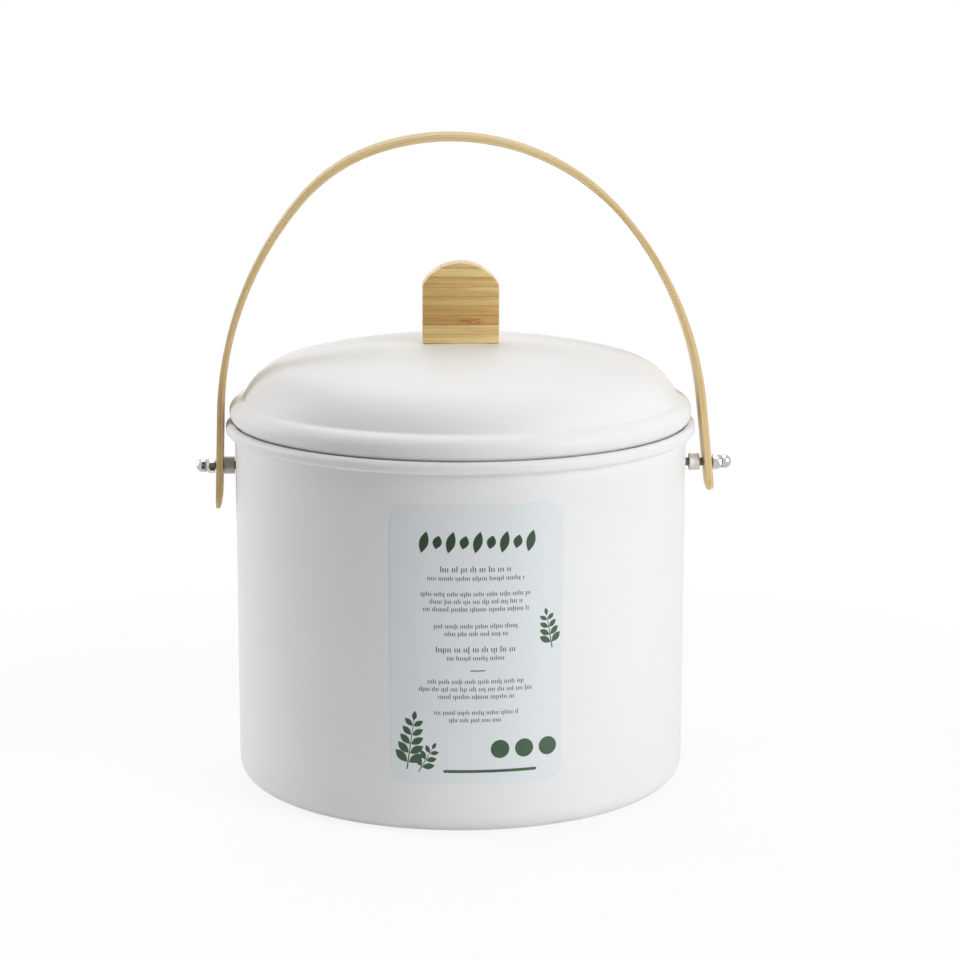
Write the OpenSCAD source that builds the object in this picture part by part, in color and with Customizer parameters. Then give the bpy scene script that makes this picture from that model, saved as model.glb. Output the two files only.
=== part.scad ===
// Countertop compost caddy: a pressed steel bucket with a rolled rim, a lift-off
// domed lid that carries an activated carbon filter, and a bent bamboo bail.
// Millimetres, +Z up, origin on the bucket's axis at the surface it stands on.
// The bail turns about the X axis through both pivots, and -Y is the label's side.

/* [Bucket] */
// Outer radius of the straight wall
bucket_r = 110; // [109.7:0.1:110.2]
// Height of the rolled rim above the table
rim_z = 178; // [176:0.1:178.2]
// Thickness of the bucket's steel sheet
bucket_t = 0.8; // [0.6:0.1:1.1]
// Outer radius of the corner between base and wall
corner_r = 9.9; // [6:0.1:12]
// Radius at which the stiffening groove in the base starts
groove_start_r = 74; // [40:1:80]
// Bend radius of the stiffening groove
groove_bend = 5; // [3:0.5:6]
// Radius of the rim's outward curl, on its outer surface
curl_r = 2.6; // [2.3:0.1:2.8]
// Straight drop on the outside of the curl
curl_drop = 0.8; // [0.2:0.1:1.5]

/* [Lid] */
// Height of the lid's highest point above the table
lid_z = 215.7; // [215.6:0.1:217]
// Thickness of the lid's steel sheet
lid_t = 0.7; // [0.5:0.1:0.9]
// Radius of the dome's flat crown
crown_r = 660; // [600:10:720]
// Radius of the dome's flank
flank_r = 292; // [288:1:294]
// Radius of the dome's shoulder
shoulder_r = 29; // [27:0.5:29.5]
// Radius of the round roll round the lid's edge
roll_r = 6.1; // [5.8:0.1:6.2]
// Width of the flat lip that the roll ends in, under the lid
lip_w = 4; // [2:0.5:6]
// Depth of the collar that drops into the bucket's mouth
collar_depth = 12; // [8:1:15]
// Clearance between the collar and the bucket's mouth
collar_gap = 0.8; // [0.5:0.1:1.2]

/* [Knob] */
// Width of the bamboo knob
knob_w = 37; // [30:1:42]
// Thickness of the knob, front to back
knob_d = 12; // [10:0.5:16]
// Height of the knob above the lid
knob_h = 39; // [34:1:44]
// Radius of the knob's arched top
knob_top_r = 21.4; // [21.2:0.1:28]
// Distance of each knob screw from the middle
knob_screw_x = 10; // [7:0.5:12]

/* [Filter] */
// Outer radius of the filter's holding ring
ring_r = 62; // [55:1:63]
// Wall of the holding ring
ring_t = 1.6; // [1.2:0.1:2]
// Height of the holding ring's lower edge above the table
ring_z = 196; // [194:0.5:198]
// Thickness of the carbon pad
pad_t = 10; // [6:0.5:12]
// Number of slots in the outer row of the filter's tray
slot_count = 24; // [12:2:30]

/* [Bail] */
// Height of the pivots above the table
pivot_z = 155.4; // [153:0.1:157]
// Width of the bamboo strip
bail_w = 18; // [14:0.5:20]
// Thickness of the bamboo strip
bail_t = 3.3; // [2.6:0.1:3.4]
// Length of the left tail below its pivot
tail_left = 22; // [16:0.5:24]
// Length of the right tail below its pivot
tail_right = 14.5; // [12:0.5:20]

/* [Pivots] */
// Radius of the pivot bolts' shanks
bolt_r = 2; // [1.6:0.1:2.2]
// Radius of the spacers between bucket and bail
spacer_r = 4.2; // [3.6:0.1:5]
// Length of the left spacer
spacer_left_len = 5.1; // [4:0.1:5.2]
// Length of the right spacer
spacer_right_len = 5.1; // [4:0.1:6.4]
// Distance of the right spacer from the bucket's axis
spacer_right_x = 112.3; // [110.3:0.1:113]
// Distance of the left cap nut's flat end from the bucket's axis
nut_left_x = 120; // [119.9:0.1:121]
// Distance of the right cap nut's flat end from the bucket's axis
nut_right_x = 124; // [123.9:0.1:125]
// Width across the cap nuts' flats
nut_af = 7; // [6.8:0.1:8]

/* [Label] */
// Height of the label
label_h = 133; // [80:1:140]
// Angle that the label covers round the wall
label_span = 42.6; // [20:0.2:60]
// Height of the label's lower edge above the table
label_z = 24.8; // [15:0.1:30]
// Turn of the label's middle from -Y towards +X
label_turn = 1.8; // [-20:0.1:20]
// Radius of the label's corners
label_corner = 8; // [2:0.5:12]

/* [Hidden] */
$fn = 128;

coat_white = [0.93, 0.925, 0.91];
bamboo = [0.82, 0.68, 0.44];
bright_metal = [0.78, 0.78, 0.78];
dull_metal = [0.62, 0.61, 0.6];
pale_plastic = [0.86, 0.87, 0.86];
label_white = [0.87, 0.89, 0.93];
charcoal = [0.09, 0.09, 0.1];

// Largest turn and largest length of one straight piece of an outline's arc
arc_step = 4;
arc_chord = 7;
// Overshoot that keeps a cut's ends off the faces it goes through
past = 1;
// Radial clearances: round a fixed bolt, round a turning one, round a thread
hole_gap = 0.2;
running_gap = 0.05;
thread_gap = 0.02;

// The bucket's sheet, along its inner surface from the middle of the base to the end of the curl
mouth_r = bucket_r - bucket_t;
groove_turn = 30;
foot_ring_w = bucket_r - corner_r - groove_start_r - 4 * groove_bend * sin(groove_turn);
curl_tuck = 118;
bucket_path = [[groove_start_r, 0], [groove_bend, groove_turn], [groove_bend, -2 * groove_turn],
               [groove_bend, groove_turn], [foot_ring_w, 0], [corner_r - bucket_t, 90],
               [rim_z - curl_r - corner_r, 0], [curl_r, -180], [curl_drop, 0], [curl_r, -curl_tuck]];

// The lid's sheet, along its outer surface from the crown to the end of its lip
crown_turn = 2.4;
flank_turn = 11.6;
shoulder_turn = 52.2;
crease_r = 2.1;
crease_turn = 59;
roll_turn = 180 - crown_turn - flank_turn - shoulder_turn + crease_turn;
lid_path = [[crown_r, -crown_turn], [flank_r, -flank_turn], [shoulder_r, -shoulder_turn],
            [crease_r, crease_turn], [roll_r, -roll_turn], [lip_w, 0]];
lid_line = walk(lid_path, [0, lid_z, 0]);
lid_end = last(lid_line);
lid_under_z = lid_z - lid_t;
collar_r = mouth_r - collar_gap;
collar_bend = 2;

// The bail's centre line, from the left pivot's level up over the crown
bail_start = [-117.6, pivot_z, 88.2];
leg_left = 26.5;
leg_right = 30;
bail_arcs = [[leg_left, 0], [166, -38.7], [82.5, -31], [111, -68.6], [168, -33.8]];
// Half the width and the full height of a space that holds the whole bail
reach_x = 150;
reach_z = 330;

washer_t = 0.8;
washer_r = 4.5;
washer_x = mouth_r - hole_gap - washer_t;
bolt_head_t = 2.4;
bolt_head_r = 4;
bolt_recess_len = 4;
recess_w = 0.9;
recess_depth = 1.2;
spacer_left_x = bucket_r + 0.5;
nut_hex_t = 3.4;
nut_dome_r = 3.3;
nut_dome_z = 6;
nut_bore_depth = 6.8;
bolt_end_gap = 0.5;

screw_r = 1.5;
screw_len = 20;
screw_head_r = 2.9;
screw_head_t = 2;
screw_recess_len = 3.2;
knob_washer_r = 4.4;
// Drop that keeps a flat washer clear of the curved sheet above it
knob_washer_top = lid_under_z - 0.3;
screw_head_z = knob_washer_top - washer_t - screw_head_t;

tray_gap = 0.4;
tray_r = ring_r - ring_t - tray_gap;
tray_floor_t = 1.6;
tray_floor_z = ring_z - tray_gap - tray_floor_t;
tray_wall_t = 1.6;
tray_wall_h = 7;
tray_lip_w = 3;
slot_w = 3;
slot_inner_x = 14;
slot_inner_len = 14;
slot_outer_x = 32;
slot_outer_len = 22;
pad_r = tray_r - tray_wall_t - 0.6;

label_t = 0.15;

// One step along an outline: a straight [length, 0] or an arc [radius, turn], left turns positive
function advance(at, part, share) =
    part[1] == 0
    ? [at[0] + part[0] * share * cos(at[2]), at[1] + part[0] * share * sin(at[2]), at[2]]
    : let (side = sign(part[1]), turned = at[2] + part[1] * share)
      [at[0] + side * part[0] * (sin(turned) - sin(at[2])),
       at[1] - side * part[0] * (cos(turned) - cos(at[2])), turned];

function arc_steps(radius, turn) =
    ceil(max(turn / arc_step, radius * turn * PI / 180 / arc_chord));

// All the points [x, y, heading] of an outline that starts at a point and heading
function walk(parts, start, i = 0) =
    i == len(parts) ? [start]
    : let (steps = parts[i][1] == 0 ? 1 : arc_steps(parts[i][0], abs(parts[i][1])))
      concat([start], [for (k = [1:1:steps - 1]) advance(start, parts[i], k / steps)],
             walk(parts, advance(start, parts[i], 1), i + 1));

function last(list) = list[len(list) - 1];

function reversed(list) = [for (i = [len(list) - 1:-1:0]) list[i]];

// Points at a distance to the right of an outline's direction
function beside(points, distance) =
    [for (p = points) [p[0] + distance * sin(p[2]), p[1] - distance * cos(p[2])]];

// The section of a bent sheet, from one distance beside an outline to another
module sheet(points, near, far) {
    polygon(concat(beside(points, near), reversed(beside(points, far))));
}

module rounded_rectangle(w, h, r) {
    translate([r - w / 2, 0]) square([w - 2 * r, h]);
    translate([-w / 2, r]) square([w, h - 2 * r]);
    for (x = [r - w / 2, w / 2 - r], y = [r, h - r])
        translate([x, y]) circle(r = r);
}

// A cross recess cut into a screw head that faces down its own Z axis
module cross_recess(length) {
    for (turn = [0, 90])
        rotate([0, 0, turn]) translate([-length / 2, -recess_w / 2, -past])
            cube([length, recess_w, past + recess_depth]);
}

// Puts a part on the pivots' axis, growing away from the bucket on one side
module on_pivot(side, x) {
    translate([side * x, 0, pivot_z]) rotate([0, side * 90, 0]) children();
}

module bucket_body() {
    drill_len = 10;
    color(coat_white) difference() {
        rotate_extrude() sheet(walk(bucket_path, [0, bucket_t, 0]), 0, bucket_t);
        for (side = [-1, 1])
            on_pivot(side, bucket_r - drill_len / 2) cylinder(r = bolt_r + hole_gap, h = drill_len);
    }
}

module label() {
    label_w = 2 * bucket_r * sin(label_span / 2);
    color(label_white) rotate([0, 0, label_turn]) translate([0, 0, label_z]) intersection() {
        difference() {
            cylinder(r = bucket_r + label_t, h = label_h);
            translate([0, 0, -past]) cylinder(r = bucket_r, h = label_h + 2 * past);
        }
        rotate([90, 0, 0]) linear_extrude(bucket_r + label_t + past)
            rounded_rectangle(label_w, label_h, label_corner);
    }
}

module pivot_bolt(side, nut_x) {
    head_x = washer_x - bolt_head_t;
    end_x = nut_x + nut_bore_depth - bolt_end_gap;
    color(bright_metal) on_pivot(side, head_x) difference() {
        union() {
            cylinder(r = bolt_head_r, h = bolt_head_t);
            cylinder(r = bolt_r, h = end_x - head_x);
        }
        cross_recess(bolt_recess_len);
    }
}

module round_tube(outer_r, inner_r, length) {
    difference() {
        cylinder(r = outer_r, h = length);
        translate([0, 0, -past]) cylinder(r = inner_r, h = length + 2 * past);
    }
}

module inner_washer(side) {
    color(dull_metal) on_pivot(side, washer_x) round_tube(washer_r, bolt_r + hole_gap, washer_t);
}

module spacer(side, x, length) {
    color(dull_metal) on_pivot(side, x) round_tube(spacer_r, bolt_r + hole_gap, length);
}

// A hexagon with its outer corners turned down, and a domed blind end
module cap_nut(side, x) {
    corner_turned_r = nut_af / 2;
    cone_h = nut_af;
    color(bright_metal) on_pivot(side, x) difference() {
        union() {
            intersection() {
                cylinder(r = nut_af / sqrt(3), h = nut_hex_t, $fn = 6);
                translate([0, 0, nut_hex_t - cone_h])
                    cylinder(r1 = corner_turned_r + 2 * cone_h, r2 = corner_turned_r, h = cone_h);
            }
            cylinder(r = nut_dome_r, h = nut_dome_z);
            translate([0, 0, nut_dome_z]) sphere(r = nut_dome_r);
        }
        translate([0, 0, -past]) cylinder(r = bolt_r + thread_gap, h = nut_bore_depth + past);
    }
}

module bail_handle() {
    up = walk(bail_arcs, bail_start);
    line = concat([advance(bail_start, [-tail_left, 0], 1)], up,
                  [advance(last(up), [leg_right + tail_right, 0], 1)]);
    color(bamboo) difference() {
        intersection() {
            translate([0, bail_w / 2, 0]) rotate([90, 0, 0]) linear_extrude(bail_w)
                sheet(line, -bail_t / 2, bail_t / 2);
            union() {
                round_ended_half(-reach_x, pivot_z - tail_left);
                round_ended_half(0, pivot_z - tail_right);
            }
        }
        translate([-reach_x, 0, pivot_z]) rotate([0, 90, 0])
            cylinder(r = bolt_r + running_gap, h = 2 * reach_x);
    }
}

// The space of one half of the bail: as wide as the strip, and round at its lower end
module round_ended_half(from_x, tip_z) {
    half_w = bail_w / 2;
    translate([from_x, 0, tip_z + half_w]) {
        translate([0, -half_w, 0]) cube([reach_x, bail_w, reach_z - tip_z]);
        rotate([0, 90, 0]) cylinder(r = half_w, h = reach_x);
    }
}

module lid_shell() {
    drill_len = 10;
    color(coat_white) difference() {
        rotate_extrude() sheet(lid_line, 0, lid_t);
        for (side = [-1, 1])
            translate([side * knob_screw_x, 0, lid_z - drill_len / 2])
                cylinder(r = screw_r + hole_gap, h = drill_len);
    }
}

// A flanged ring welded under the lid's lip, which centres the lid in the bucket's mouth
module lid_collar() {
    path = [[collar_r - collar_bend - lid_end[0], 0], [collar_bend, -90],
            [collar_depth - collar_bend, 0]];
    color(coat_white) rotate_extrude()
        sheet(walk(path, [lid_end[0], lid_end[1], 0]), 0, lid_t);
}

module knob() {
    color(bamboo) difference() {
        translate([0, knob_d / 2, lid_z]) rotate([90, 0, 0]) linear_extrude(knob_d)
            intersection() {
                translate([-knob_w / 2, 0]) square([knob_w, knob_h]);
                union() {
                    translate([0, knob_h - knob_top_r]) circle(r = knob_top_r);
                    translate([-knob_w / 2, 0]) square([knob_w, knob_h - knob_top_r]);
                }
            }
        for (side = [-1, 1])
            translate([side * knob_screw_x, 0, lid_z - past])
                cylinder(r = screw_r + thread_gap, h = screw_len);
    }
}

module knob_screw(side) {
    color(dull_metal) translate([side * knob_screw_x, 0, screw_head_z]) difference() {
        union() {
            cylinder(r = screw_head_r, h = screw_head_t);
            cylinder(r = screw_r, h = screw_len);
        }
        cross_recess(screw_recess_len);
    }
}

module knob_washer(side) {
    color(dull_metal) translate([side * knob_screw_x, 0, knob_washer_top - washer_t])
        round_tube(knob_washer_r, screw_r + hole_gap, washer_t);
}

// A ring fixed under the dome, its top edge cut to the sheet's underside
module filter_ring() {
    glue_t = 0.05;
    above_ring = [for (p = lid_line) if (p[0] < ring_r + 1.5 * arc_chord) p];
    under_dome = beside(above_ring, lid_t + glue_t);
    color(pale_plastic) intersection() {
        translate([0, 0, ring_z]) round_tube(ring_r, ring_r - ring_t, lid_z - ring_z);
        rotate_extrude() polygon(concat([[0, ring_z - past], [last(under_dome)[0], ring_z - past]],
                                        reversed(under_dome)));
    }
}

// A slotted tray that the pad lies in, pushed up into the holding ring
module filter_tray() {
    color(pale_plastic) translate([0, 0, tray_floor_z]) difference() {
        union() {
            cylinder(r = ring_r + tray_lip_w, h = tray_floor_t);
            cylinder(r = tray_r, h = tray_floor_t + tray_wall_h);
        }
        translate([0, 0, tray_floor_t]) cylinder(r = tray_r - tray_wall_t, h = tray_wall_h + past);
        for (i = [0:1:slot_count - 1]) rotate([0, 0, i * 360 / slot_count]) {
            tray_slot(slot_outer_x, slot_outer_len);
            if (i % 2 == 0) tray_slot(slot_inner_x, slot_inner_len);
        }
    }
}

module tray_slot(x, length) {
    translate([x, -slot_w / 2, -past]) cube([length, slot_w, tray_floor_t + 2 * past]);
}

module filter_pad() {
    pad_lift = 0.05;
    color(charcoal) translate([0, 0, tray_floor_z + tray_floor_t + pad_lift])
        cylinder(r = pad_r, h = pad_t);
}

bucket_body();
label();
pivot_bolt(-1, nut_left_x);  // pivot_bolt_left
pivot_bolt(1, nut_right_x);  // pivot_bolt_right
inner_washer(-1);  // inner_washer_left
inner_washer(1);  // inner_washer_right
spacer(-1, spacer_left_x, spacer_left_len);  // spacer_left
spacer(1, spacer_right_x, spacer_right_len);  // spacer_right
cap_nut(-1, nut_left_x);  // cap_nut_left
cap_nut(1, nut_right_x);  // cap_nut_right
bail_handle();
lid_shell();
lid_collar();
knob();
knob_screw(-1);  // knob_screw_left
knob_screw(1);  // knob_screw_right
knob_washer(-1);  // knob_washer_left
knob_washer(1);  // knob_washer_right
filter_ring();
filter_tray();
filter_pad();
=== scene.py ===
"""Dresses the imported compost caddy: coated steel bucket and lid, bamboo knob and bail, label and filter.

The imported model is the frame. Each sub-assembly is a class that models its pieces in metres where the frame
has them, gives them their finishes, and says which body carries them and which node they stand for.
"""

import sys
import logging
import math
from collections.abc import Iterator
from contextlib import contextmanager
from dataclasses import dataclass
from enum import Enum

import bpy
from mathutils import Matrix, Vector


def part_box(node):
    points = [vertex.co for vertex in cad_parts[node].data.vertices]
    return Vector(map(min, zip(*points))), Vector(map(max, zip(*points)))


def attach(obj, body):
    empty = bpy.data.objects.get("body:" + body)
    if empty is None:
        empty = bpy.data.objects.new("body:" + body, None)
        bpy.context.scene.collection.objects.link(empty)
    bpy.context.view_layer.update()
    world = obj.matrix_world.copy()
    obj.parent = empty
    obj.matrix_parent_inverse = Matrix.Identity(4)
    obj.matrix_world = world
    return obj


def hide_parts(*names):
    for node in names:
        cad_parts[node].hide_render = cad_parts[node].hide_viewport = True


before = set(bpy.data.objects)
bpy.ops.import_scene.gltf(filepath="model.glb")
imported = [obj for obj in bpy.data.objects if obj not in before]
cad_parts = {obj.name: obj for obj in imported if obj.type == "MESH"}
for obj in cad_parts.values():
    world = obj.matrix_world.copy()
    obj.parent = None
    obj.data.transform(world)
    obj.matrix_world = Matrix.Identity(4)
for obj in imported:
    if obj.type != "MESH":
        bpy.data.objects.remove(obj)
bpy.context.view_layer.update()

Point = tuple[float, float]
Place = tuple[float, float, float]
Colour = tuple[float, float, float]
# The middle of an upright stroke's foot, its width and its height
Stroke = tuple[float, float, float, float]
Piece = bpy.types.Object
Socket = bpy.types.NodeSocket
Outputs = bpy.types.NodeOutputs
Inputs = dict[str | int, object]

MM = 0.001
# Steps of a full turn, and the turn of one of them, in degrees
ROUND_STEPS = 240
ROUND_STEP = 360 / ROUND_STEPS
# Straight pieces in a sheet's rounded end
END_STEPS = 6
# Vertices nearer than this are one
WELD = 2e-6
# The outside of the bucket's wall, and the height of the pivots' axis
WALL_R = 110 * MM
PIVOT_Z = 155.4 * MM

log = logging.getLogger("compost_caddy")


class Body(Enum):
    """The rigid bodies of the frame that pieces ride on."""

    BUCKET = "bucket"
    BAIL = "bail"
    LID = "lid"
    FILTER = "filter"


class Slot(Enum):
    """The record's material slots."""

    COAT = "powder_coat"
    BAMBOO = "bamboo"
    BRIGHT = "bright_steel"
    SATIN = "satin_steel"
    LABEL = "label"
    PLASTIC = "filter_plastic"
    FELT = "carbon_felt"


class Side(Enum):
    """The two pivots, by the sign of their X."""

    LEFT = -1
    RIGHT = 1


# ---------------------------------------------------------------- outlines


def ahead_of(heading: float) -> Vector:
    """The unit step along a heading in degrees, from +X towards +Z."""
    return Vector((math.cos(math.radians(heading)), math.sin(math.radians(heading))))


def right_of(heading: float) -> Vector:
    """The unit step to the right of a heading."""
    return Vector((math.sin(math.radians(heading)), -math.cos(math.radians(heading))))


class Outline:
    """A line drawn by going ahead and turning, as the edge of a bent sheet runs, in the XZ plane."""

    def __init__(self, x: float, z: float, heading: float, chord: float = 2 * MM, turn: float = 5) -> None:
        """Starts the line.

        Args:
            x: First point, along X.
            z: First point, along Z.
            heading: Direction in degrees, from +X towards +Z.
            chord: Longest straight piece of an arc.
            turn: Largest turn between two straight pieces of an arc, in degrees.
        """
        self.stations: list[Place] = [(x, z, heading)]
        self.chord = chord
        self.turn = turn

    def ahead(self, length: float) -> "Outline":
        """Goes straight on for a length."""
        x, z, heading = self.stations[-1]
        angle = math.radians(heading)
        self.stations.append((x + length * math.cos(angle), z + length * math.sin(angle), heading))
        return self

    def bend(self, radius: float, degrees: float) -> "Outline":
        """Turns along an arc.

        Args:
            radius: The arc's radius.
            degrees: How far it turns, positive to the left.

        Returns:
            The same outline.
        """
        x, z, heading = self.stations[-1]
        side = math.copysign(1, degrees)
        steps = math.ceil(max(abs(degrees) / self.turn, abs(math.radians(degrees)) * radius / self.chord))
        for step in range(1, steps + 1):
            turned = heading + degrees * step / steps
            now, was = math.radians(turned), math.radians(heading)
            self.stations.append((
                x + side * radius * (math.sin(now) - math.sin(was)),
                z - side * radius * (math.cos(now) - math.cos(was)),
                turned,
            ))
        return self

    def beside(self, distance: float) -> list[Point]:
        """The line moved to its right by a distance."""
        return [
            (x + distance * math.sin(math.radians(h)), z - distance * math.cos(math.radians(h)))
            for x, z, h in self.stations
        ]

    def sheet(self, thickness: float, round_start: bool = False) -> list[Point]:
        """The section of a sheet that lies on the line's right.

        Args:
            thickness: The sheet's thickness.
            round_start: Whether the first end is rounded too; one on the axis isn't.

        Returns:
            The section's points, with its far end rounded.
        """
        near, far = self.beside(0), self.beside(thickness)
        ring = near + self._round_end(-1, thickness, 1) + far[::-1]
        if round_start:
            ring += self._round_end(0, thickness, -1)
        return ring

    def _round_end(self, which: int, thickness: float, way: int) -> list[Point]:
        """The half circle that closes a sheet at one of its stations, ahead of it or behind it."""
        x, z, heading = self.stations[which]
        ahead, right = ahead_of(heading), right_of(heading)
        middle = Vector((x, z)) + right * thickness / 2
        points = []
        for step in range(1, END_STEPS):
            swing = math.pi * step / END_STEPS
            at = middle + thickness / 2 * way * (ahead * math.sin(swing) - right * math.cos(swing))
            points.append((at.x, at.y))
        return points


# ---------------------------------------------------------------- the workbench


@contextmanager
def editing(piece: Piece) -> Iterator[None]:
    """Opens a piece in edit mode, with all of it selected, and closes it again."""
    pick(piece)
    bpy.ops.object.mode_set(mode="EDIT")
    bpy.ops.mesh.select_all(action="SELECT")
    yield
    bpy.ops.object.mode_set(mode="OBJECT")


def pick(*pieces: Piece) -> None:
    """Selects these pieces and nothing else, and makes the first one active."""
    bpy.ops.object.select_all(action="DESELECT")
    for piece in pieces:
        piece.select_set(True)
    bpy.context.view_layer.objects.active = pieces[0]


def newest(name: str) -> Piece:
    """The primitive that was just added, under its new name."""
    piece = bpy.context.active_object
    piece.name = name
    piece.data.name = name
    return piece


def settle(piece: Piece) -> Piece:
    """Puts a piece's place and turn into its mesh."""
    pick(piece)
    bpy.ops.object.transform_apply(location=True, rotation=True, scale=True)
    return piece


def shape_with(piece: Piece, kind: str, **settings: object) -> Piece:
    """Adds a modifier to a piece and applies it.

    Args:
        piece: The piece.
        kind: Blender's name of the modifier's type.
        settings: The modifier's own settings.

    Returns:
        The same piece.
    """
    modifier = piece.modifiers.new(kind.title(), kind)
    for name, value in settings.items():
        setattr(modifier, name, value)
    pick(piece)
    bpy.ops.object.modifier_apply(modifier=modifier.name)
    return piece


def combine(piece: Piece, tool: Piece, operation: str) -> Piece:
    """Cuts, joins or crops a piece with another closed one, which is used up."""
    shape_with(piece, "BOOLEAN", object=tool, operation=operation, solver="EXACT")
    bpy.data.objects.remove(tool)
    return piece


def join(pieces: list[Piece]) -> Piece:
    """Makes several pieces one, under the first one's name."""
    pick(*pieces)
    bpy.ops.object.join()
    return pieces[0]


def smooth(piece: Piece, degrees: float = 35) -> Piece:
    """Shades a piece smooth, except over edges sharper than an angle."""
    pick(piece)
    bpy.ops.object.shade_smooth_by_angle(angle=math.radians(degrees))
    return piece


def face_outwards() -> None:
    """Welds what is selected in edit mode and turns its faces outwards."""
    bpy.ops.mesh.select_all(action="SELECT")
    bpy.ops.mesh.remove_doubles(threshold=WELD)
    bpy.ops.mesh.normals_make_consistent(inside=False)


def draw_line(name: str, points: list[Point]) -> Piece:
    """Draws a line in the XZ plane by extruding one vertex from point to point."""
    bpy.ops.mesh.primitive_plane_add(size=MM, location=(0, 0, 0))
    piece = newest(name)
    with editing(piece):
        bpy.ops.mesh.merge(type="CENTER")
        bpy.ops.transform.translate(value=(points[0][0], 0, points[0][1]))
        for (x0, z0), (x1, z1) in zip(points, points[1:]):
            bpy.ops.mesh.extrude_region_move(TRANSFORM_OT_translate={"value": (x1 - x0, 0, z1 - z0)})
    return piece


def turn_round(name: str, section: list[Point], on_axis: bool = False, steps: int = ROUND_STEPS) -> Piece:
    """Turns a section round the Z axis into a closed solid.

    Args:
        name: The piece's name.
        section: The section's points.
        on_axis: Whether the section starts and ends on the axis, and so isn't closed by a last edge.
        steps: Steps of the full turn.

    Returns:
        The piece, smooth and with its faces outwards.
    """
    piece = draw_line(name, section if on_axis else section + section[:1])
    with editing(piece):
        bpy.ops.mesh.remove_doubles(threshold=WELD)
        bpy.ops.mesh.select_all(action="SELECT")
        bpy.ops.mesh.spin(steps=steps, angle=math.tau, center=(0, 0, 0), axis=(0, 0, 1))
        face_outwards()
    return smooth(piece)


def rod(name: str, radius: float, length: float, start: Place,
        turned: Place = (0, 0, 0), sides: int = 48) -> Piece:
    """A plain round bar that grows from a point along its own Z, for drilling or cropping.

    Args:
        name: The bar's name.
        radius: Its radius.
        length: Its length.
        start: The middle of its first end.
        turned: Its rotation as Euler angles in degrees.
        sides: How many flat sides it has.

    Returns:
        The bar, with its place in its mesh.
    """
    bpy.ops.mesh.primitive_cylinder_add(vertices=sides, radius=radius, depth=length)
    bar = newest(name)
    with editing(bar):
        bpy.ops.transform.translate(value=(0, 0, length / 2))
    bar.rotation_euler = [math.radians(angle) for angle in turned]
    bar.location = start
    return settle(bar)


# ---------------------------------------------------------------- node graphs


class Graph:
    """A node tree that is being wired."""

    def __init__(self, tree: bpy.types.NodeTree) -> None:
        """Takes the tree that nodes are added to."""
        self.tree = tree

    def add(self, kind: str, inputs: Inputs | None = None, **settings: object) -> bpy.types.Node:
        """Adds a node.

        Args:
            kind: Blender's name of the node's type, without its first word.
            inputs: By name or number, a value for a socket or the output that feeds it.
            settings: The node's own settings.

        Returns:
            The node.
        """
        node = self.tree.nodes.new("ShaderNode" + kind)
        for name, value in settings.items():
            setattr(node, name, value)
        for key, value in (inputs or {}).items():
            if isinstance(value, Socket):
                self.tree.links.new(value, node.inputs[key])
            else:
                node.inputs[key].default_value = value
        return node

    def math(self, operation: str, *values: object) -> Socket:
        """The output of a Math node on values or outputs."""
        return self.add("Math", dict(enumerate(values)), operation=operation).outputs[0]

    def noise(self, vector: object, scale: object, detail: float = 2, rough: float = 0.5) -> Socket:
        """The value of a Noise Texture at a vector."""
        keys = {"Vector": vector, "Scale": scale, "Detail": detail, "Roughness": rough}
        return self.add("TexNoise", keys).outputs[0]

    def stretch(self, vector: object, scale: tuple[float, float, float]) -> Socket:
        """A vector scaled along its axes."""
        return self.add("VectorMath", {0: vector, 1: scale}, operation="MULTIPLY").outputs[0]

    def spread(self, value: object, low: float, high: float, to_low: float = 0, to_high: float = 1,
               smooth_ends: bool = False) -> Socket:
        """A value mapped from one range to another and clamped."""
        kind = "SMOOTHSTEP" if smooth_ends else "LINEAR"
        keys = {"Value": value, "From Min": low, "From Max": high, "To Min": to_low, "To Max": to_high}
        return self.add("MapRange", keys, interpolation_type=kind).outputs[0]

    def blend(self, share: object, first: object, second: object, how: str = "MIX") -> Socket:
        """Two colours mixed by a share."""
        node = self.add("Mix", {0: share, 6: rgba(first), 7: rgba(second)}, data_type="RGBA", blend_type=how)
        return node.outputs[2]

    def bump(self, height: object, depth: float, strength: float = 1) -> Socket:
        """The normal of a bumpy surface, whose height runs over a depth in metres."""
        return self.add("Bump", {"Height": height, "Distance": depth, "Strength": strength}).outputs[0]


def rgba(colour: object) -> object:
    """A colour with its alpha, or an output as it is."""
    return (*colour, 1.0) if isinstance(colour, tuple) and len(colour) == 3 else colour


class NodeGroup:
    """A shared effect: a shader node group with named inputs and outputs, built once."""

    name: str
    inputs: dict[str, tuple[str, object]]
    outputs: dict[str, str]

    def wire(self, graph: Graph, given: Outputs) -> dict[str, Socket]:
        """Builds the group's inside and says what each output is."""
        raise NotImplementedError

    def tree(self) -> bpy.types.NodeTree:
        """The group, built when it is first asked for."""
        if self.name in bpy.data.node_groups:
            return bpy.data.node_groups[self.name]
        tree = bpy.data.node_groups.new(self.name, "ShaderNodeTree")
        for name, (kind, value) in self.inputs.items():
            socket = tree.interface.new_socket(name, in_out="INPUT", socket_type="NodeSocket" + kind)
            if value is not None:
                socket.default_value = value
        for name, kind in self.outputs.items():
            tree.interface.new_socket(name, in_out="OUTPUT", socket_type="NodeSocket" + kind)
        given = tree.nodes.new("NodeGroupInput").outputs
        result = tree.nodes.new("NodeGroupOutput").inputs
        for name, socket in self.wire(Graph(tree), given).items():
            tree.links.new(socket, result[name])
        return tree

    def place(self, graph: Graph, inputs: dict[str, object]) -> Outputs:
        """Puts the group into a material and gives its outputs."""
        node = graph.add("Group", node_tree=self.tree())
        for key, value in inputs.items():
            if isinstance(value, Socket):
                graph.tree.links.new(value, node.inputs[key])
            else:
                node.inputs[key].default_value = rgba(value)
        return node.outputs


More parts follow.
